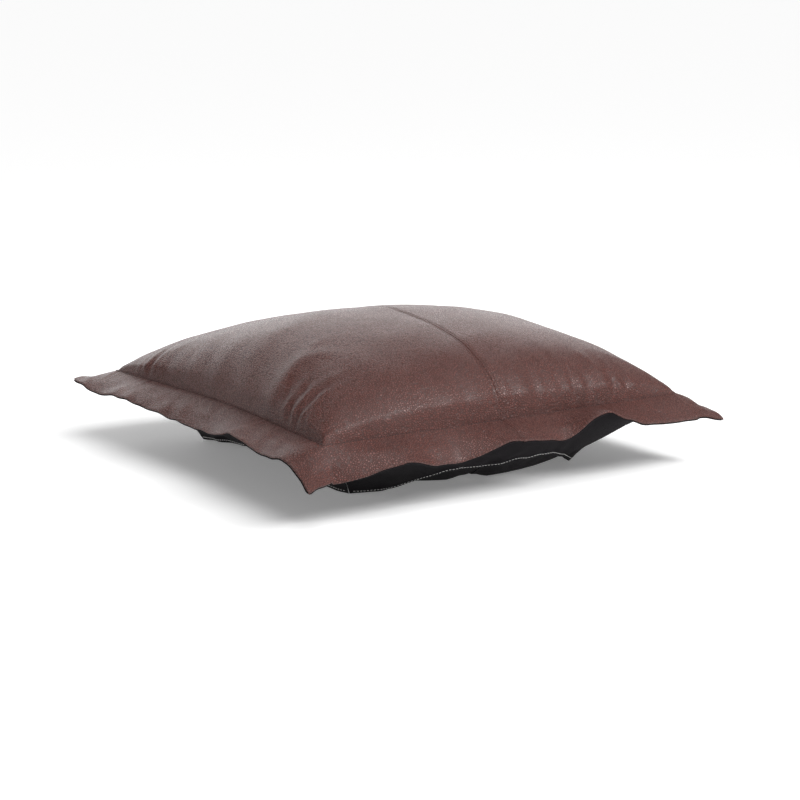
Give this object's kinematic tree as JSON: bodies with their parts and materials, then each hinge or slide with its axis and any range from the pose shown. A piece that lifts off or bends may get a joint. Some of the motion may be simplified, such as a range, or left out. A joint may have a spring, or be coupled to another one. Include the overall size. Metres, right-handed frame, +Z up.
{
  "type": "flanged ottoman cushion",
  "caption": "Square flanged cushion with a leathercloth top, black underside with zip, loose fibre insert and an under-skirt that slips over an ottoman frame",
  "frame": {"origin": "on the floor, under the middle of the cushion", "axes": "+Z up; +X along the front edge to the right; +Y from the front edge to the back, along the centre seam"},
  "size_m": [0.6582, 0.6582, 0.2047],
  "materials": {
    "leathercloth": "brown pebble-grained imitation leather with a soft sheen",
    "black_duck": "plain-woven black cloth, matte",
    "white_thread": "white polyester sewing thread",
    "brown_thread": "brown bonded sewing thread",
    "zip_tape": "black woven zip tape",
    "zip_coil": "black nylon coil",
    "zip_metal": "dark nickel-plated die casting",
    "ticking": "undyed cotton ticking",
    "fibre": "white polyester fibre filling"
  },
  "bodies": {
    "root": {"top_panel_left": "leathercloth", "top_panel_right": "leathercloth", "bottom_panel_left": "black_duck", "bottom_panel_right": "black_duck", "skirt_front": "black_duck", "skirt_right": "black_duck", "skirt_back": "black_duck", "skirt_left": "black_duck", "hem_stitch_front": "white_thread", "hem_stitch_right": "white_thread", "hem_stitch_back": "white_thread", "hem_stitch_left": "white_thread", "centre_topstitch_left": "brown_thread", "centre_topstitch_right": "brown_thread", "flange_ditch_stitch": "brown_thread", "zip_tape_left": "zip_tape", "zip_tape_right": "zip_tape", "zip_coil_left": "zip_coil", "zip_coil_right": "zip_coil", "zip_bottom_stop": "zip_metal", "zip_top_stop_left": "zip_metal", "zip_top_stop_right": "zip_metal", "insert_casing_top": "ticking", "insert_casing_bottom": "ticking", "insert_fill": "fibre"},
    "slider": {"zip_slider": "zip_metal"},
    "pull": {"zip_pull": "zip_metal"}
  },
  "joints": [
    {"name": "zip_slide", "type": "slide", "parent": "root", "child": "slider", "axis": [0, -1, 0], "range_m": [0, 0.351]},
    {"name": "zip_pull_swing", "type": "hinge", "parent": "slider", "child": "pull", "pos_m": [-0.01, 0.176, 0.0022], "axis": [1, 0, 0], "range_deg": [0, 170]}
  ]
}
